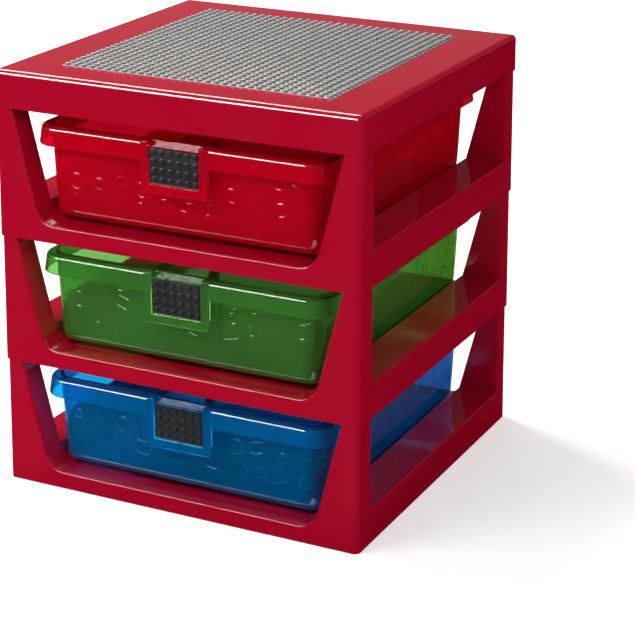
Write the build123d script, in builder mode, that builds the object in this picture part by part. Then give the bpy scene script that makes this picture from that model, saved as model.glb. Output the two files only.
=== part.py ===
from build123d import *
from math import atan, degrees, sqrt
import os

# Storage tower: three like open tiers stacked under a cover, with a translucent drawer in each
# tier. Z is up, the drawers open towards -Y, and the origin is at the middle of the footprint.

# Rack, all three tiers and the cover
tier_names = ["lower", "middle", "upper"]
rack_width = 346.0            # at the foot of each skirt
rack_depth = 333.0
tier_pitch = 114.5            # foot of one skirt to the foot of the next
cover_height = 32.5
rack_wall = 2.5
corner_radius = 5.0           # upright corners, in plan
skirt_draft = 1.3             # each outer face leans in by this over one pitch
edge_bevel = 1.2              # edges of the drawer passage and of the ledges

# Tier: drawer passage, side ledges and corner posts
floor_height = 15.5           # floor above the foot of the skirt
ledge_height = 31.0           # side ledges above the foot of the skirt
post_depth = 24.5             # along Y
post_foot_width = 41.7        # along X, at the floor
post_top_width = 17.0         # along X, at the top
passage_corner = 20.0         # lower corners of the passage
spigot_height = 10.0
spigot_inset = 2.0            # from the post's inner faces
spigot_clearance = 0.5        # to the skirt that it enters

# Cover and building plate
cover_top_wall = 3.2
cover_edge_round = 4.5
stud_pitch = 8.0
stud_diameter = 4.9
stud_height = 1.7
stud_sides = 6
plate_studs = 32              # along each side
plate_thickness = 1.6
plate_proud = 0.4             # base of the plate above the cover
plate_clearance = 0.2

# Drawer
drawer_wall = 2.2
drawer_draft = 2.2            # degrees, body walls
drawer_corner = 16.0          # upright corners of the body at the rim
drawer_foot_bevel = 5.8       # around the foot of the body, outside
rim_setback = 3.5             # front of the rim behind the front of the rack
rim_side_gap = 8.8            # rim to the passage wall, at the rim's lower edge
rim_overhang = 10.4           # past the body, at the front and back
rim_side_overhang = 9.0
rim_corner = 22.0
rim_height = 16.5
rim_draft = 6.5               # degrees, rim face leans in towards its top
rim_bevel = 2.4               # around the top of the rim, outside
rim_top_gap = 13.0            # rim below the skirt above
skid_height = 2.7
skid_width = 3.0
skid_length = 230.0
skid_spacing = 160.0
skid_clearance = 0.3

# Handle panel and its stud pad
pad_columns = 6
pad_rows = 4
pad_relief = 0.1              # each edge of the pad inside the stud grid
pad_thickness = 1.5
pad_clearance = 0.2
pad_drop = 4.2                # top of the stud grid below the rim
pad_sink = 2.0                # face of the pad behind the face of the panel
panel_side_border = 7.0
panel_foot_border = 8.3
panel_wall = 1.6              # behind the pad
panel_corner = 1.5
notch_drop = 2.9              # flat step in the rim above the pad
notch_depth = 8.0
web_thickness = 2.0           # stiffening web behind the panel

# Worked out from the sizes above
draft_angle = degrees(atan(skirt_draft / tier_pitch))
passage_foot_half = rack_width / 2 - post_foot_width
passage_top_half = rack_width / 2 - post_top_width
passage_slope = (passage_top_half - passage_foot_half) / (tier_pitch - floor_height)
window_half_depth = rack_depth / 2 - post_depth
spigot_bevel = (2 - sqrt(2)) * (corner_radius - rack_wall - spigot_clearance)
cover_foot = len(tier_names) * tier_pitch
cover_top = cover_foot + cover_height


def passage_half(height):
    """Half width of the drawer passage at a height above the foot of the skirt."""
    return passage_foot_half + (height - floor_height) * passage_slope


def drafted_block(plane, width, depth, radius, height, draft):
    """Block that narrows by a draft as it rises from a plane, with four even rounded corners."""
    with BuildPart() as upright:
        with BuildSketch():
            Rectangle(width, depth)
        extrude(amount=height, taper=draft)
        fillet(upright.edges().filter_by(Plane.XY, reverse=True), radius)
    with BuildPart() as block:
        with Locations(plane):
            add(upright.part)
    return block


def tier_form(inset):
    """Tier with every face moved in by inset: 0 is its outer form, one wall is its hollow."""
    block = drafted_block(
        Plane.XY,
        rack_width - 2 * inset,
        rack_depth - 2 * inset,
        corner_radius - inset,
        tier_pitch - inset,
        draft_angle,
    )
    with BuildPart() as form:
        add(block.part)

        # Drawer passage: slanted sides and round lower corners, right through from front to back
        reach = 2 * tier_pitch
        with BuildSketch(Plane.XZ) as passage:
            with BuildLine():
                Polyline(
                    (-passage_foot_half, floor_height),
                    (passage_foot_half, floor_height),
                    (passage_half(reach), reach),
                    (-passage_half(reach), reach),
                    close=True,
                )
            make_face()
            fillet(passage.vertices().group_by(Axis.Y)[0], passage_corner)
            if inset > 0:
                offset(amount=inset, kind=Kind.INTERSECTION)
        extrude(amount=rack_depth, both=True, mode=Mode.SUBTRACT)

        # Side windows above the ledges, between the posts
        with BuildSketch(Plane.XY.offset(ledge_height - inset)):
            Rectangle(2 * rack_width, 2 * (window_half_depth + inset))
        extrude(amount=tier_pitch, mode=Mode.SUBTRACT)

        # Bevelled edges of the passage mouths and of the ledges
        if inset == 0:
            inner_edges = form.edges().filter_by(
                lambda edge: abs(edge.center().X) < passage_top_half
                and floor_height - edge_bevel < edge.center().Z < tier_pitch - edge_bevel
            )
            mouths = inner_edges.filter_by(
                lambda edge: abs(edge.center().Y) > window_half_depth + post_depth / 2
            )
            sills = form.edges().filter_by(Axis.Y).filter_by(
                lambda edge: abs(edge.center().X) > passage_top_half
                and abs(edge.center().Z - ledge_height) < edge_bevel
            )
            chamfer(mouths + sills, edge_bevel)

        # Spigots on the post tops, which enter the piece above
        inner_x = passage_top_half + spigot_inset
        inner_y = window_half_depth + spigot_inset
        outer_x = rack_width / 2 - rack_wall - spigot_clearance
        outer_y = rack_depth / 2 - rack_wall - spigot_clearance
        spigot_root = tier_pitch - 2 * rack_wall
        with BuildSketch(Plane.XY.offset(spigot_root)) as spigots:
            with GridLocations(inner_x + outer_x, inner_y + outer_y, 2, 2):
                Rectangle(outer_x - inner_x - 2 * inset, outer_y - inner_y - 2 * inset)
            if inset == 0:
                chamfer(spigots.vertices(), spigot_bevel)
        extrude(amount=tier_pitch + spigot_height - inset - spigot_root)
    return form


# Tier: one moulding of skirt, floor, two ledges and four hollow posts, open below
tier_outside = tier_form(0)
tier_hollow = tier_form(rack_wall)
with BuildPart() as tier:
    add(tier_outside.part)
    add(tier_hollow.part, mode=Mode.SUBTRACT)

# Cover: closes the stack, open below, with a shallow square pocket for the building plate
plate_side = plate_studs * stud_pitch
cover_plane = Plane.XY.offset(cover_foot)
cover_outside = drafted_block(
    cover_plane, rack_width, rack_depth, corner_radius, cover_height, draft_angle
)
cover_hollow = drafted_block(
    cover_plane,
    rack_width - 2 * rack_wall,
    rack_depth - 2 * rack_wall,
    corner_radius - rack_wall,
    cover_height - cover_top_wall,
    draft_angle,
)
with BuildPart() as cover:
    add(cover_outside.part)
    fillet(cover.faces().sort_by(Axis.Z)[-1].edges(), cover_edge_round)
    add(cover_hollow.part, mode=Mode.SUBTRACT)
    with BuildSketch(Plane.XY.offset(cover_top)):
        Rectangle(plate_side + 2 * plate_clearance, plate_side + 2 * plate_clearance)
    extrude(amount=plate_proud - plate_thickness, mode=Mode.SUBTRACT)
cover.part.label = "top_cover"

# Building plate: its outer ring of studs carries the outline of the whole stud field
edge_row = (plate_side - stud_pitch) / 2
stud_spots = GridLocations(stud_pitch, stud_pitch, plate_studs, plate_studs).locations
outer_ring = [
    spot
    for spot in stud_spots
    if max(abs(spot.position.X), abs(spot.position.Y)) > edge_row - stud_pitch / 2
]
with BuildPart() as plate:
    with BuildSketch(Plane.XY.offset(cover_top + plate_proud - plate_thickness)):
        Rectangle(plate_side, plate_side)
    extrude(amount=plate_thickness)
    with BuildSketch(Plane.XY.offset(cover_top + plate_proud)):
        with Locations(*outer_ring):
            RegularPolygon(stud_diameter / 2, stud_sides)
    extrude(amount=stud_height)
plate.part.label = "stud_plate"

# Drawer levels, measured from the foot of its tier
drawer_foot = floor_height + skid_clearance + skid_height
rim_top = tier_pitch - rim_top_gap
rim_foot = rim_top - rim_height
rim_half_width = passage_half(rim_foot) - rim_side_gap
rim_half_depth = rack_depth / 2 - rim_setback
body_half_width = rim_half_width - rim_side_overhang
body_half_depth = rim_half_depth - rim_overhang


def tub_form(inset):
    """Body of the drawer, tapering down from its rim, with its sides and foot moved in by inset."""
    block = drafted_block(
        -Plane.XY.offset(rim_top),
        2 * (body_half_width - inset),
        2 * (body_half_depth - inset),
        drawer_corner - inset,
        rim_top - drawer_foot - inset,
        drawer_draft,
    )
    with BuildPart() as form:
        add(block.part)
        foot = form.faces().sort_by(Axis.Z)[0]
        chamfer(foot.edges(), drawer_foot_bevel - (2 - sqrt(2)) * inset)
    return form


def rim_form(inset):
    """Overhanging rim, leaning in towards its top, with its sides and top moved in by inset."""
    return drafted_block(
        Plane.XY.offset(rim_foot),
        2 * (rim_half_width - inset),
        2 * (rim_half_depth - inset),
        rim_corner - inset,
        rim_height - inset,
        rim_draft,
    )


# Handle panel levels, and its depths from the front of the rim backwards
grid_width = pad_columns * stud_pitch
grid_height = pad_rows * stud_pitch
grid_top = rim_top - pad_drop
panel_foot = grid_top - grid_height - panel_foot_border
panel_width = grid_width + 2 * panel_side_border
notch_level = rim_top - notch_drop
notch_width = grid_width + 2 * (pad_clearance + pad_relief)
recess_depth = pad_sink + pad_thickness
panel_depth = recess_depth + panel_wall
shelf_depth = notch_depth + drawer_wall

# Drawer: tub, overhanging rim and hanging handle panel, moulded in one
tub_outside = tub_form(0)
tub_inside = tub_form(drawer_wall)
rim_outside = rim_form(0)
rim_underside = rim_form(drawer_wall)
with BuildPart() as drawer:
    add(rim_outside.part)
    chamfer(drawer.faces().sort_by(Axis.Z)[-1].edges(), rim_bevel)
    add(rim_underside.part, mode=Mode.SUBTRACT)

    # Handle panel, the shelf behind its top, and the web that stiffens it
    front = Plane.XZ.offset(rim_half_depth)
    with BuildSketch(front):
        with Locations((0, (panel_foot + rim_top) / 2)):
            Rectangle(panel_width, rim_top - panel_foot)
    extrude(amount=-panel_depth)
    panel_sides = drawer.edges().filter_by(Axis.Y).filter_by(
        lambda edge: abs(edge.center().Z - panel_foot) < panel_corner
    )
    fillet(panel_sides, panel_corner)
    with BuildSketch(front):
        with Locations((0, (notch_level + rim_top - drawer_wall) / 2)):
            Rectangle(notch_width + 2 * drawer_wall, rim_top - notch_level + drawer_wall)
    extrude(amount=-shelf_depth)
    with BuildSketch(front.offset(-panel_depth)):
        with Locations((0, (panel_foot + rim_top) / 2)):
            Rectangle(web_thickness, rim_top - panel_foot)
    extrude(amount=-(rim_overhang + drawer_wall - panel_depth))

    # Step in the rim above the pad, and the recess that the pad lies in
    with BuildSketch(front):
        with Locations((0, (notch_level + rim_top) / 2)):
            Rectangle(notch_width, rim_top - notch_level)
    extrude(amount=-notch_depth, mode=Mode.SUBTRACT)
    with BuildSketch(front):
        with Locations((0, grid_top - grid_height / 2)):
            Rectangle(
                grid_width + 2 * (pad_clearance - pad_relief),
                grid_height + 2 * (pad_clearance - pad_relief),
            )
    extrude(amount=-recess_depth, mode=Mode.SUBTRACT)

    add(tub_outside.part)
    add(tub_inside.part, mode=Mode.SUBTRACT)

    # Skids under the tub, which carry it on the floor of the tier
    with BuildSketch(Plane.XY.offset(drawer_foot - skid_height)):
        with GridLocations(skid_spacing, 0, 2, 1):
            Rectangle(skid_width, skid_length)
    extrude(amount=skid_height + drawer_wall / 2)

# Stud pad: lies against the back of the panel's recess, with its studs towards the front
pad_seat = Plane.XZ.offset(rim_half_depth - recess_depth)
with BuildPart() as pad:
    with BuildSketch(pad_seat):
        with Locations((0, grid_top - grid_height / 2)):
            Rectangle(grid_width - 2 * pad_relief, grid_height - 2 * pad_relief)
    extrude(amount=pad_thickness)
    with BuildSketch(pad_seat.offset(pad_thickness)):
        with Locations((0, grid_top - grid_height / 2)):
            with GridLocations(stud_pitch, stud_pitch, pad_columns, pad_rows):
                RegularPolygon(stud_diameter / 2, stud_sides)
    extrude(amount=stud_height)

# The three tiers are alike, each with its drawer and pad
os.makedirs("parts", exist_ok=True)
for index, name in enumerate(tier_names):
    for kind, moulding in (("tier", tier), ("drawer", drawer), ("pad", pad)):
        with BuildPart() as raised:
            with Locations((0, 0, index * tier_pitch)):
                add(moulding.part)
        raised.part.label = f"{name}_{kind}"
        export_step(raised.part, f"parts/{name}_{kind}.step")
export_step(cover.part, "parts/top_cover.step")
export_step(plate.part, "parts/stud_plate.step")
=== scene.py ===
import bpy
import numpy as np
from mathutils import Matrix, Vector


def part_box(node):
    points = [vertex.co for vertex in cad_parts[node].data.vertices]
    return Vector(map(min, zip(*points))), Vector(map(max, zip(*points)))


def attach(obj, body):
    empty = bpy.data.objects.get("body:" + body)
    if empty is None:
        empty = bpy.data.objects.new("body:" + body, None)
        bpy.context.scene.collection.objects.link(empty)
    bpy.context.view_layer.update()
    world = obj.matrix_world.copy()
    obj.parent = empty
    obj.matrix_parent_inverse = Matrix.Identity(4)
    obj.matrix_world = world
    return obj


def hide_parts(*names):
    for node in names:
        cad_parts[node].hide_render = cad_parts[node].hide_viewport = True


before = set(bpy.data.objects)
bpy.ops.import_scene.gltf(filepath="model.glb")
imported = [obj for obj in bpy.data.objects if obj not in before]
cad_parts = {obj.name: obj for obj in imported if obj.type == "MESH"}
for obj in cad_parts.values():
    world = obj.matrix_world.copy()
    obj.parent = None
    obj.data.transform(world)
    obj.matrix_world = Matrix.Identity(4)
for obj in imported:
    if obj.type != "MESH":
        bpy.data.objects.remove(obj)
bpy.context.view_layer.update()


# ---- Rack: three like tiers under a cover ----------------------------------------------------
# Glossy opaque red plastic, injection moulded with thin walls and open undersides. Each tier's
# hollow posts carry the next one, and the cover closes the stack. The solids are the CAD's own.

def add_node(tree, kind, links=(), **values):
    """A shader node of a kind, with socket values by index or name and links as (output, input)."""
    made = tree.nodes.new(kind)
    for key, value in values.items():
        if key in made.bl_rna.properties:
            setattr(made, key, value)
        else:
            made.inputs[key.replace("_", " ")].default_value = value
    for output, socket in links:
        tree.links.new(output, made.inputs[socket])
    return made


def group_socket(group, name, way, kind="NodeSocketFloat", value=None):
    """One named input or output of a node group."""
    socket = group.interface.new_socket(name=name, in_out=way, socket_type=kind)
    if value is not None:
        socket.default_value = value
    return socket


# Moulded skin: uneven gloss, the slight waviness of a thin wall, and edges that catch the light
moulded_skin = bpy.data.node_groups.new("moulded_skin", "ShaderNodeTree")
group_socket(moulded_skin, "Least roughness", "INPUT", value=0.1)
group_socket(moulded_skin, "Most roughness", "INPUT", value=0.2)
group_socket(moulded_skin, "Waviness", "INPUT", value=0.00002)
group_socket(moulded_skin, "Edge round", "INPUT", value=0.0005)
group_socket(moulded_skin, "Roughness", "OUTPUT")
group_socket(moulded_skin, "Normal", "OUTPUT", "NodeSocketVector")
skin_in = moulded_skin.nodes.new("NodeGroupInput")
skin_out = moulded_skin.nodes.new("NodeGroupOutput")
skin_place = add_node(moulded_skin, "ShaderNodeTexCoord")
smears = add_node(
    moulded_skin, "ShaderNodeTexNoise", [(skin_place.outputs["Object"], "Vector")],
    Scale=26.0, Detail=5.0, Roughness=0.6,
)
smear_range = add_node(
    moulded_skin, "ShaderNodeMapRange",
    [
        (smears.outputs["Fac"], "Value"),
        (skin_in.outputs["Least roughness"], "To Min"),
        (skin_in.outputs["Most roughness"], "To Max"),
    ],
    From_Min=0.35, From_Max=0.7,
)
waves = add_node(
    moulded_skin, "ShaderNodeTexNoise", [(skin_place.outputs["Object"], "Vector")],
    Scale=14.0, Detail=1.0,
)
round_edge = add_node(
    moulded_skin, "ShaderNodeBevel", [(skin_in.outputs["Edge round"], "Radius")], samples=6,
)
wave_bump = add_node(
    moulded_skin, "ShaderNodeBump",
    [
        (waves.outputs["Fac"], "Height"),
        (skin_in.outputs["Waviness"], "Distance"),
        (round_edge.outputs["Normal"], "Normal"),
    ],
    Strength=1.0,
)
moulded_skin.links.new(smear_range.outputs["Result"], skin_out.inputs["Roughness"])
moulded_skin.links.new(wave_bump.outputs["Normal"], skin_out.inputs["Normal"])


wall_waviness = 0.00005


def plastic(name, colour, least, most, edge_round=0.0006, **shader_values):
    """Principled material of one plain colour with the moulded skin on its roughness and normal."""
    material = bpy.data.materials.new(name)
    material.use_nodes = True
    tree = material.node_tree
    shader = tree.nodes["Principled BSDF"]
    skin = add_node(tree, "ShaderNodeGroup", node_tree=moulded_skin, name="skin")
    skin.inputs["Least roughness"].default_value = least
    skin.inputs["Most roughness"].default_value = most
    skin.inputs["Waviness"].default_value = wall_waviness
    skin.inputs["Edge round"].default_value = edge_round
    shader.inputs["Base Color"].default_value = (*colour, 1.0)
    tree.links.new(skin.outputs["Roughness"], shader.inputs["Roughness"])
    tree.links.new(skin.outputs["Normal"], shader.inputs["Normal"])
    for key, value in shader_values.items():
        shader.inputs[key.replace("_", " ")].default_value = value
    return material


rack_red = plastic(
    "rack_red", (0.37, 0.0012, 0.018), 0.06, 0.12, IOR=1.5, Specular_IOR_Level=0.8,
)
tier_names = ["lower", "middle", "upper"]
for node_name in [f"{name}_tier" for name in tier_names] + ["top_cover"]:
    node_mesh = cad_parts[node_name].data
    node_mesh.materials.clear()
    node_mesh.materials.append(rack_red)


# ---- Building plate --------------------------------------------------------------------------
# Grey opaque plastic plate of 32 by 32 studs, pressed into the shallow pocket of the cover. Each
# stud is a short cylinder with a small round at its top edge.

stud_pitch = 0.008
stud_radius = 0.00245
stud_height = 0.0017
stud_round = 0.00025
stud_sides = 16
stud_sink = 0.0001      # foot of a stud below the face that it stands on
plate_studs = 32
plate_corner = 0.001
plate_edge = 0.0002


def stud_field(spots, base, sides):
    """
    Studs at spots, as an array of vertices and a list of faces.
    Each stud is a circle carried up its axis: the foot, the top of the straight wall, two steps
    of the quarter round, and a flat cap. Vertex = spot + radius * (cos, sin) at each level.
    """
    turn = np.linspace(0.0, 0.5 * np.pi, 3)
    radii = np.concatenate([[stud_radius], stud_radius - stud_round * (1 - np.cos(turn))])
    levels = np.concatenate([[-stud_sink], stud_height - stud_round * (1 - np.sin(turn))])
    angle = np.arange(sides) * 2 * np.pi / sides
    circle = np.stack([np.cos(angle), np.sin(angle)], axis=1)
    rings = np.empty((len(spots), len(radii), sides, 3))
    rings[..., :2] = spots[:, None, None, :] + radii[None, :, None, None] * circle
    rings[..., 2] = base + levels[None, :, None]
    index = np.arange(rings[..., 0].size).reshape(rings.shape[:3])
    nxt = np.roll(index, -1, axis=2)
    sides_faces = np.stack(
        [index[:, :-1], nxt[:, :-1], nxt[:, 1:], index[:, 1:]], axis=-1
    ).reshape(-1, 4)
    feet = index[:, 0, ::-1].reshape(-1, sides)
    caps = index[:, -1].reshape(-1, sides)
    return rings.reshape(-1, 3), sides_faces.tolist() + feet.tolist() + caps.tolist()


def rounded_rectangle(half_width, half_depth, radius, steps):
    """
    Rings of points round rectangles with round corners, one ring for each entry of the arrays.
    Point = corner's arc centre + radius * (cos, sin), for steps + 1 angles at each corner.
    """
    quarter = np.linspace(0.0, 0.5 * np.pi, steps + 1)
    angle = (quarter + 0.5 * np.pi * np.arange(4)[:, None]).ravel()
    across = np.repeat([1, -1, -1, 1], steps + 1)
    along = np.repeat([1, 1, -1, -1], steps + 1)
    half_width, half_depth, radius = (
        np.atleast_1d(np.asarray(value, float))[:, None]
        for value in (half_width, half_depth, radius)
    )
    x = across * (half_width - radius) + radius * np.cos(angle)
    y = along * (half_depth - radius) + radius * np.sin(angle)
    return np.stack([x, y], axis=-1)


def at_levels(outline, level):
    """Rings of points in space: each flat ring of the outline at its own level."""
    heights = np.broadcast_to(level[:, None, None], outline.shape[:2] + (1,))
    return np.concatenate([outline, heights], axis=-1)


def ring_solid(rings):
    """Faces that close a stack of rings: quads between neighbours and a flat cap at each end."""
    count, around = rings.shape[:2]
    index = np.arange(count * around).reshape(count, around)
    nxt = np.roll(index, -1, axis=1)
    quads = np.stack([index[:-1], nxt[:-1], nxt[1:], index[1:]], axis=-1).reshape(-1, 4)
    return quads.tolist() + [index[0, ::-1].tolist(), index[-1].tolist()]


def slab(half_width, half_depth, low, high, corner, edge, steps=4):
    """
    Flat slab with round corners in plan and a small round on its edges, as vertices and faces.
    The rounded rectangle shrinks by edge * (1 - cos) while its level moves by edge * (1 - sin).
    """
    turn = np.linspace(0.0, 0.5 * np.pi, steps)
    inset = np.concatenate([edge * (1 - np.cos(turn[::-1])), edge * (1 - np.cos(turn))])
    lower = low + edge * (1 - np.sin(turn[::-1]))
    upper = high - edge * (1 - np.sin(turn))
    outline = rounded_rectangle(half_width - inset, half_depth - inset, corner - inset, steps)
    rings = at_levels(outline, np.concatenate([lower, upper]))
    return rings.reshape(-1, 3), ring_solid(rings)


def joined(*solids):
    """Several (vertices, faces) solids as one."""
    vertices, faces, start = [], [], 0
    for points, polygons in solids:
        vertices.append(points)
        faces += [[corner + start for corner in polygon] for polygon in polygons]
        start += len(points)
    return np.concatenate(vertices), faces


def mesh_object(name, vertices, faces, material=None, crease=0.6):
    """Object of a mesh, smooth but for edges that turn by more than crease (radians)."""
    mesh = bpy.data.meshes.new(name)
    mesh.from_pydata(vertices, [], faces)
    mesh.shade_smooth()
    mesh.set_sharp_from_angle(angle=crease)
    made = bpy.data.objects.new(name, mesh)
    bpy.context.scene.collection.objects.link(made)
    if material is not None:
        mesh.materials.append(material)
    return made


plate_low, plate_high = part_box("stud_plate")
plate_top = plate_high.z - stud_height
column = (np.arange(plate_studs) - (plate_studs - 1) / 2) * stud_pitch
plate_spots = np.stack(np.meshgrid(column, column), axis=-1).reshape(-1, 2)
plate_grey = plastic(
    "plate_grey", (0.185, 0.185, 0.191), 0.35, 0.5, edge_round=0.0, Specular_IOR_Level=0.35,
)
stud_plate = mesh_object(
    "studded_building_plate",
    *joined(
        slab(
            plate_high.x, plate_high.y, plate_low.z, plate_top, plate_corner, plate_edge,
        ),
        stud_field(plate_spots, plate_top, stud_sides),
    ),
    plate_grey,
)
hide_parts("stud_plate")
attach(stud_plate, "rack")


# ---- Drawers ---------------------------------------------------------------------------------
# Three like tubs of translucent coloured plastic, each moulded in one with an overhanging rim, a
# handle panel that hangs in front of the tub, a web behind the panel and two skids underneath.

wall = 0.0022
overhang = 0.0104
side_overhang = 0.009
rim_height = 0.0165
rim_lean = np.tan(np.radians(6.5))
tub_lean = np.tan(np.radians(2.2))
tub_corner = 0.016
rim_corner = 0.022
foot_round = 0.009
rim_round = 0.004
lip_round = 0.0009
foot_break = 0.0003     # small bevel at the foot of the rim
under_break = 0.0006    # under the rim
joint_break = 0.0008    # where the rim meets the tub
wall_rows = (0.03, 0.06)    # rows of points on the tub's walls, above the foot
wall_turn = 182         # degrees: where the foot's rounds meet the leaning walls
rim_turn = 173.5        # degrees: where the rim's round meets its leaning face
round_steps = 7
lip_steps = 4
skid_height = 0.0027
skid_half_width = 0.0015
skid_half_length = 0.115
skid_out = 0.080
panel_half_width = 0.031
panel_depth = 0.0051
panel_corner = 0.0015
panel_edge = 0.0004
skid_corner = 0.0014
skid_edge = 0.0003
panel_foot_below_rim = 0.0445
notch_half_width = 0.0243
notch_drop = 0.0029
notch_depth = 0.008
recess_half_width = 0.0241
recess_half_height = 0.0161
recess_depth = 0.0035
grid_drop = 0.0042
grid_half_height = 0.016
web_half = 0.001
web_setback = 0.004     # front of the web behind the front of the panel
corner_steps = 12
overlap = 0.001         # of solids that are joined or cut


def arc_profile(centre, radius, start, end, steps):
    """Points of an arc in the drawer's section: (inset from the rim's outside, level)."""
    angle = np.radians(np.linspace(start, end, steps + 1))
    direction = np.stack([np.cos(angle), np.sin(angle)], axis=1)
    return np.asarray(centre) + radius * direction


def drawer_shell(half_width, half_depth, rim_top, foot):
    """
    Closed skin of the drawer without its handle, as vertices and faces.
    A section of (inset, level) points runs from the middle of the foot up the outside, round the
    rim and down the inside. Each point becomes a rounded rectangle, half sizes less the inset,
    whose corner radius shrinks by the inset from the rim's corner or, past it, the tub's.
    """
    rim_foot = rim_top - rim_height
    foot_inset = overhang + tub_lean * (rim_top - foot)
    under = rim_top - wall
    under_inset = wall + rim_lean * (rim_height - wall)
    inner = overhang + wall
    inner_foot = foot + wall
    inner_inset = inner + tub_lean * (rim_top - inner_foot)
    inner_round = foot_round - wall
    section = np.concatenate([
        arc_profile(
            (foot_inset + foot_round, foot + foot_round), foot_round, 270, wall_turn, round_steps,
        ),
        [(overhang + tub_lean * (rim_top - foot - row), foot + row) for row in wall_rows],
        [
            (overhang + tub_lean * wall - joint_break / 2, under - under_break),
            (overhang - joint_break, under),
            (under_inset + under_break, under),
            (under_inset, under - under_break),
            (wall, rim_foot + foot_break),
            (wall - foot_break, rim_foot),
            (foot_break, rim_foot),
            (0.0, rim_foot + foot_break),
        ],
        arc_profile(
            (rim_lean * rim_height + rim_round, rim_top - rim_round), rim_round, rim_turn, 90,
            round_steps,
        ),
        arc_profile((inner - lip_round, rim_top - lip_round), lip_round, 90, 0, lip_steps),
        [(inner + tub_lean * (rim_top - foot - row), foot + row) for row in wall_rows[::-1]],
        arc_profile(
            (inner_inset + inner_round, inner_foot + inner_round), inner_round, wall_turn, 270,
            round_steps,
        ),
    ])
    inset, level = section.T
    past_rim = np.clip((inset - wall) / (overhang - wall), 0.0, 1.0)
    radius = rim_corner + past_rim * (tub_corner + overhang - rim_corner) - inset
    across = half_width - inset + past_rim * (overhang - side_overhang)
    outline = rounded_rectangle(across, half_depth - inset, radius, corner_steps)
    rings = at_levels(outline, level)
    return rings.reshape(-1, 3), ring_solid(rings)


def block(low, high):
    """Plain block between two corners, as vertices and faces."""
    x, y, z = np.stack([low, high], axis=1)
    points = np.stack(np.meshgrid(x, y, z, indexing="ij"), axis=-1).reshape(-1, 3)
    faces = [[0, 1, 3, 2], [4, 6, 7, 5], [0, 4, 5, 1], [2, 3, 7, 6], [0, 2, 6, 4], [1, 5, 7, 3]]
    return points, faces


def moved(solid, shift):
    """Solid moved by a shift, as vertices and faces."""
    return solid[0] + np.asarray(shift), solid[1]


def stood_up(solid, front):
    """Slab drawn in plan, stood up as (x, level) with its thickness running back from the front."""
    points, faces = solid
    return np.stack([points[:, 0], front - points[:, 2], points[:, 1]], axis=1), faces


def combined(base, operand, operation):
    """Applies one solid to another with an exact Boolean, and removes the operand."""
    step = base.modifiers.new(operation.lower(), "BOOLEAN")
    step.object, step.operation, step.solver = operand, operation, "EXACT"
    graph = bpy.context.evaluated_depsgraph_get()
    result = bpy.data.meshes.new_from_object(base.evaluated_get(graph))
    base.modifiers.clear()
    base.data = result
    bpy.data.objects.remove(operand)


drawer_low, drawer_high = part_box("lower_drawer")
rim_top, drawer_foot, front = drawer_high.z, drawer_low.z + skid_height, drawer_low.y
panel_foot = rim_top - panel_foot_below_rim
notch_level = rim_top - notch_drop
grid_middle = rim_top - grid_drop - grid_half_height
tub_front = front + overhang

drawer_form = mesh_object(
    "drawer_form", *drawer_shell(drawer_high.x, -drawer_low.y, rim_top, drawer_foot)
)
panel_half_height = (rim_top - panel_foot) / 2
panel_plan = slab(
    panel_half_width, panel_half_height, -panel_depth, 0.0, panel_corner, panel_edge,
)
skid = slab(
    skid_half_width, skid_half_length, drawer_low.z, drawer_foot + overlap, skid_corner, skid_edge,
)
additions = [
    moved(stood_up(panel_plan, front), (0.0, 0.0, panel_foot + panel_half_height)),
    moved(skid, (-skid_out, 0.0, 0.0)),
    moved(skid, (skid_out, 0.0, 0.0)),
    block(
        (-notch_half_width - wall, front + overlap / 2, notch_level - wall),
        (notch_half_width + wall, front + notch_depth + wall, rim_top),
    ),
    block(
        (-web_half, front + web_setback, panel_foot + panel_edge),
        (web_half, tub_front + 2 * overlap, notch_level - overlap),
    ),
]
cuts = [
    block(
        (-notch_half_width, front - overlap, notch_level),
        (notch_half_width, front + notch_depth, rim_top + overlap),
    ),
    block(
        (-recess_half_width, front - overlap, grid_middle - recess_half_height),
        (recess_half_width, front + recess_depth, grid_middle + recess_half_height),
    ),
]
for number, solid in enumerate(additions):
    combined(drawer_form, mesh_object(f"addition_{number}", *solid), "UNION")
for number, solid in enumerate(cuts):
    combined(drawer_form, mesh_object(f"cut_{number}", *solid), "DIFFERENCE")
drawer_crease = 0.5
drawer_form.data.shade_smooth()
drawer_form.data.set_sharp_from_angle(angle=drawer_crease)
even = drawer_form.modifiers.new("even_normals", "WEIGHTED_NORMAL")
even.keep_sharp = True
graph = bpy.context.evaluated_depsgraph_get()
drawer_mesh = bpy.data.meshes.new_from_object(drawer_form.evaluated_get(graph))
bpy.data.objects.remove(drawer_form)


# Embossed motifs: one outline of a ring, a square or a plus in each cell of a loose scatter, on
# the flat outer walls of the tub only. A line lies where the motif's own distance, which is the
# length, the larger side or the smaller of two long-armed sides, equals its size
embossed_motifs = bpy.data.node_groups.new("embossed_motifs", "ShaderNodeTree")
group_socket(embossed_motifs, "Cells per metre", "INPUT", value=46.0)
group_socket(embossed_motifs, "Line width", "INPUT", value=0.0006)
group_socket(embossed_motifs, "Height", "OUTPUT")
motif_in = embossed_motifs.nodes.new("NodeGroupInput")
motif_out = embossed_motifs.nodes.new("NodeGroupOutput")


def motif_maths(operation, first, second=None, third=None):
    """Value of one Math node of the motif group, fed by sockets or plain numbers."""
    made = add_node(embossed_motifs, "ShaderNodeMath", operation=operation)
    for socket, source in zip(made.inputs, (first, second, third)):
        if isinstance(source, bpy.types.NodeSocket):
            embossed_motifs.links.new(source, socket)
        elif source is not None:
            socket.default_value = source
    return made.outputs["Value"]


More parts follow.
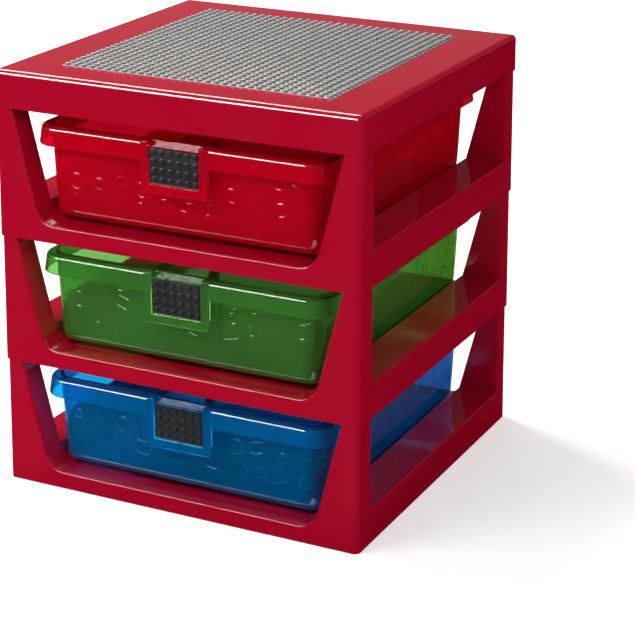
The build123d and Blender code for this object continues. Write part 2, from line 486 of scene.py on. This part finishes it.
motif_place = add_node(embossed_motifs, "ShaderNodeTexCoord")
place_parts = add_node(
    embossed_motifs, "ShaderNodeSeparateXYZ", [(motif_place.outputs["Object"], "Vector")]
)
facing = add_node(
    embossed_motifs, "ShaderNodeSeparateXYZ", [(motif_place.outputs["Normal"], "Vector")]
)
on_side = motif_maths("GREATER_THAN", motif_maths("ABSOLUTE", facing.outputs["X"]), 0.7)
along_wall = add_node(
    embossed_motifs, "ShaderNodeMix",
    [(on_side, "Factor"), (place_parts.outputs["X"], "A"), (place_parts.outputs["Y"], "B")],
)
wall_plane = add_node(
    embossed_motifs, "ShaderNodeCombineXYZ",
    [(along_wall.outputs["Result"], "X"), (place_parts.outputs["Z"], "Y")],
)
scatter = add_node(
    embossed_motifs, "ShaderNodeTexVoronoi",
    [(wall_plane.outputs["Vector"], "Vector"), (motif_in.outputs["Cells per metre"], "Scale")],
    voronoi_dimensions="2D", Randomness=0.45,
)
chance = add_node(
    embossed_motifs, "ShaderNodeSeparateColor", [(scatter.outputs["Color"], "Color")]
)
from_centre = add_node(
    embossed_motifs, "ShaderNodeVectorMath",
    [(wall_plane.outputs["Vector"], 0), (scatter.outputs["Position"], 1)], operation="SUBTRACT",
)
turned = add_node(
    embossed_motifs, "ShaderNodeVectorRotate",
    [
        (from_centre.outputs["Vector"], "Vector"),
        (motif_maths("MULTIPLY", chance.outputs["Red"], np.pi), "Angle"),
    ],
    rotation_type="Z_AXIS",
)
turned_parts = add_node(
    embossed_motifs, "ShaderNodeSeparateXYZ", [(turned.outputs["Vector"], "Vector")]
)
first_side = motif_maths("ABSOLUTE", turned_parts.outputs["X"])
second_side = motif_maths("ABSOLUTE", turned_parts.outputs["Y"])
ring_distance = motif_maths(
    "SQRT",
    motif_maths("MULTIPLY_ADD", first_side, first_side, motif_maths("POWER", second_side, 2.0)),
)
square_distance = motif_maths("MAXIMUM", first_side, second_side)
plus_distance = motif_maths(
    "MINIMUM",
    motif_maths("MAXIMUM", first_side, motif_maths("MULTIPLY", second_side, 3.0)),
    motif_maths("MAXIMUM", second_side, motif_maths("MULTIPLY", first_side, 3.0)),
)
ring_or_square = add_node(
    embossed_motifs, "ShaderNodeMix",
    [
        (motif_maths("GREATER_THAN", chance.outputs["Green"], 0.4), "Factor"),
        (ring_distance, "A"), (square_distance, "B"),
    ],
)
motif_distance = add_node(
    embossed_motifs, "ShaderNodeMix",
    [
        (motif_maths("GREATER_THAN", chance.outputs["Green"], 0.7), "Factor"),
        (ring_or_square.outputs["Result"], "A"), (plus_distance, "B"),
    ],
)
least_motif, motif_spread = 0.004, 0.003
motif_size = motif_maths("MULTIPLY_ADD", chance.outputs["Blue"], motif_spread, least_motif)
off_line = motif_maths(
    "ABSOLUTE", motif_maths("SUBTRACT", motif_distance.outputs["Result"], motif_size)
)
line = add_node(
    embossed_motifs, "ShaderNodeMapRange",
    [(off_line, "Value"), (motif_in.outputs["Line width"], "From Max")],
    interpolation_type="SMOOTHSTEP", To_Min=1.0, To_Max=0.0,
)
outer_wall = motif_maths("COMPARE", facing.outputs["Z"], -np.sin(np.arctan(tub_lean)), 0.012)
embossed_motifs.links.new(
    motif_maths("MULTIPLY", line.outputs["Result"], outer_wall), motif_out.inputs["Height"]
)


motif_relief = 0.00024


def tinted_plastic(name, colour, transmission):
    """Translucent coloured plastic with embossed motifs, which tints what passes or comes back."""
    material = plastic(
        name, colour, 0.03, 0.08, edge_round=0.0004,
        Transmission_Weight=transmission, IOR=1.45, Specular_IOR_Level=0.8,
    )
    tree = material.node_tree
    motifs = add_node(tree, "ShaderNodeGroup", node_tree=embossed_motifs)
    emboss = add_node(
        tree, "ShaderNodeBump",
        [(motifs.outputs["Height"], "Height"), (tree.nodes["skin"].outputs["Normal"], "Normal")],
        Distance=motif_relief,
    )
    tree.links.new(emboss.outputs["Normal"], tree.nodes["Principled BSDF"].inputs["Normal"])
    return material


drawer_tints = {
    "lower": tinted_plastic("tinted_blue", (0.003, 0.35, 0.72), 0.88),
    "middle": tinted_plastic("tinted_green", (0.17, 0.49, 0.11), 0.88),
    "upper": tinted_plastic("tinted_red", (0.70, 0.002, 0.024), 0.64),
}
for name in tier_names:
    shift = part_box(f"{name}_drawer")[1].z - rim_top
    mesh = drawer_mesh.copy()
    mesh.transform(Matrix.Translation((0.0, 0.0, shift)))
    mesh.materials.clear()
    mesh.materials.append(drawer_tints[name])
    drawer = bpy.data.objects.new(f"{name}_tub_with_handle", mesh)
    bpy.context.scene.collection.objects.link(drawer)
    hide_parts(f"{name}_drawer")
    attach(drawer, f"{name}_sliding_drawer")


# ---- Handle pads -----------------------------------------------------------------------------
# Dark grey plates of 6 by 4 studs, one pressed into the recess of each handle panel with its
# studs to the front.

pad_thickness = 0.0015
pad_half_width = 0.0239
pad_half_height = 0.0159
pad_corner = 0.0008
pad_edge = 0.0002
pad_sides = 24
pad_dark = plastic("pad_dark_grey", (0.024, 0.024, 0.027), 0.2, 0.35, edge_round=0.0)
pad_column = (np.arange(6) - 2.5) * stud_pitch
pad_row = (np.arange(4) - 1.5) * stud_pitch
pad_spots = np.stack(np.meshgrid(pad_column, pad_row), axis=-1).reshape(-1, 2)
for name in tier_names:
    pad_low, pad_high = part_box(f"{name}_pad")
    flat_pad = joined(
        slab(pad_half_width, pad_half_height, 0.0, pad_thickness, pad_corner, pad_edge),
        stud_field(pad_spots, pad_thickness, pad_sides),
    )
    pad = mesh_object(
        f"{name}_handle_pad",
        *moved(stood_up(flat_pad, pad_high.y), (0.0, 0.0, (pad_low.z + pad_high.z) / 2)),
        pad_dark,
    )
    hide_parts(f"{name}_pad")
    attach(pad, f"{name}_sliding_drawer")


# ---- Studio ----------------------------------------------------------------------------------
# A plain pale floor, three soft lights, two more that are only mirrored, and the camera at the
# photograph's angle.

# The pale floor also glows by its own emission, which is painted light on the floor and on all that
# it lights
floor_half = 4.0
glowing_white_floor = bpy.data.materials.new("glowing_white_floor")
glowing_white_floor.use_nodes = True
floor_shader = glowing_white_floor.node_tree.nodes["Principled BSDF"]
floor_shader.inputs["Base Color"].default_value = (0.86, 0.86, 0.86, 1.0)
floor_shader.inputs["Roughness"].default_value = 0.6
floor_shader.inputs["Specular IOR Level"].default_value = 0.2
floor_shader.inputs["Emission Color"].default_value = (1.0, 1.0, 1.0, 1.0)

# Painted light: the floor glows, though it is no lamp. To the camera it glows faintly round the
# drawers and brighter far off, like a lit studio sweep, and a dimmer glow from it lights everything
# else
glowing_floor_nodes = glowing_white_floor.node_tree
floor_place = add_node(glowing_floor_nodes, "ShaderNodeTexCoord")
floor_distance = add_node(
    glowing_floor_nodes, "ShaderNodeVectorMath", [(floor_place.outputs["Object"], 0)], operation="LENGTH",
)
camera_floor_glow = add_node(
    glowing_floor_nodes, "ShaderNodeMapRange", [(floor_distance.outputs["Value"], "Value")],
    interpolation_type="SMOOTHSTEP", From_Min=0.5, From_Max=1.8, To_Min=0.42, To_Max=0.95,
)
floor_ray = add_node(glowing_floor_nodes, "ShaderNodeLightPath")
floor_glow = add_node(
    glowing_floor_nodes, "ShaderNodeMapRange",
    [(floor_ray.outputs["Is Camera Ray"], "Value"), (camera_floor_glow.outputs["Result"], "To Max")],
    To_Min=0.16,
)
glowing_floor_nodes.links.new(floor_glow.outputs["Result"], floor_shader.inputs["Emission Strength"])
floor = mesh_object(
    "studio_floor",
    np.array([(-1, -1, 0), (1, -1, 0), (1, 1, 0), (-1, 1, 0)], float) * floor_half,
    [[0, 1, 2, 3]],
    glowing_white_floor,
)
floor.visible_glossy = False

# White backdrop, seen straight or through the tinted drawers, in a dim room: what it throws on
# the plastic grows from the horizon upwards, and the gloss mirrors a pale glow low in the room
world = bpy.data.worlds.new("studio")
world.use_nodes = True
room = world.node_tree
backdrop = room.nodes["Background"]
backdrop.inputs["Color"].default_value = (1.0, 1.0, 1.0, 1.0)
ray = add_node(room, "ShaderNodeLightPath")
direction = add_node(room, "ShaderNodeTexCoord")
upward = add_node(room, "ShaderNodeSeparateXYZ", [(direction.outputs["Generated"], "Vector")])
thrown = add_node(
    room, "ShaderNodeMapRange", [(upward.outputs["Z"], "Value")],
    From_Min=0.0, From_Max=0.9, To_Min=0.08, To_Max=0.4,
)
low_glow = add_node(
    room, "ShaderNodeMapRange", [(upward.outputs["Z"], "Value")],
    From_Min=0.02, From_Max=0.15, To_Min=0.0, To_Max=0.2,
)
mirrored = add_node(
    room, "ShaderNodeMapRange",
    [(upward.outputs["Z"], "Value"), (low_glow.outputs["Result"], "To Min")],
    From_Min=0.18, From_Max=0.28, To_Max=0.05,
)
dim = add_node(
    room, "ShaderNodeMapRange",
    [
        (ray.outputs["Is Glossy Ray"], "Value"),
        (thrown.outputs["Result"], "To Min"),
        (mirrored.outputs["Result"], "To Max"),
    ],
)
seen = add_node(
    room, "ShaderNodeMath",
    [(ray.outputs["Is Camera Ray"], 0), (ray.outputs["Is Transmission Ray"], 1)],
    operation="MAXIMUM",
)
strength = add_node(
    room, "ShaderNodeMapRange",
    [(seen.outputs["Value"], "Value"), (dim.outputs["Result"], "To Min")],
    To_Max=1.0,
)
room.links.new(strength.outputs["Result"], backdrop.inputs["Strength"])
bpy.context.scene.world = world


def lamp(name, place, target, size, power, tint=(1.0, 1.0, 1.0), glint=False):
    """
    Rectangular area light at a place, turned to a target, of a size in metres and power in watts.
    A glint is only mirrored, as the thin lines on the edges, and any other lamp only lights.
    """
    data = bpy.data.lights.new(name, "AREA")
    data.shape = "RECTANGLE"
    data.size, data.size_y = size
    data.energy = power
    data.color = tint
    made = bpy.data.objects.new(name, data)
    made.location = place
    made.rotation_mode = "QUATERNION"
    made.rotation_quaternion = (Vector(target) - Vector(place)).to_track_quat("-Z", "Y")
    made.visible_glossy = glint
    made.visible_diffuse = not glint
    made.visible_transmission = not glint
    bpy.context.scene.collection.objects.link(made)


front_edge = (0.0, -0.16, 0.37)
lamp("overhead_softbox", (-1.03, 0.27, 2.15), front_edge, (1.1, 0.6), 62.0)
lamp("front_softbox", (-0.64, -1.02, 1.11), front_edge, (0.9, 0.3), 10.0)
lamp("right_softbox", (1.6, -0.95, 1.25), (0.0, 0.0, 0.25), (0.9, 0.9), 13.0)
lamp("upper_glint", (-0.98, 0.95, 1.71), front_edge, (1.5, 0.9), 50.0, (1.0, 0.88, 0.72), True)
lamp("front_glint", (-0.784, -1.395, 1.016), front_edge, (1.3, 0.6), 60.0, glint=True)

camera_data = bpy.data.cameras.new("camera")
camera_data.sensor_width = 36.0
camera_data.lens = 116.06
camera_data.shift_y = -50.0 / 635.0
camera = bpy.data.objects.new("camera", camera_data)
bpy.context.scene.collection.objects.link(camera)
azimuth, elevation, roll = np.radians([26.204, 18.815, 0.292])
back = np.array(
    [np.sin(azimuth) * np.cos(elevation), -np.cos(azimuth) * np.cos(elevation), np.sin(elevation)]
)
level_right = np.array([np.cos(azimuth), np.sin(azimuth), 0.0])
level_up = np.cross(back, level_right)
right = np.cos(roll) * level_right + np.sin(roll) * level_up
up = np.cos(roll) * level_up - np.sin(roll) * level_right
camera.matrix_world = Matrix.Translation((0.8186, -1.5569, 0.7802)) @ Matrix(
    np.stack([right, up, back], axis=1).tolist()
).to_4x4()
bpy.context.scene.camera = camera
bpy.context.scene.view_settings.view_transform = "Standard"
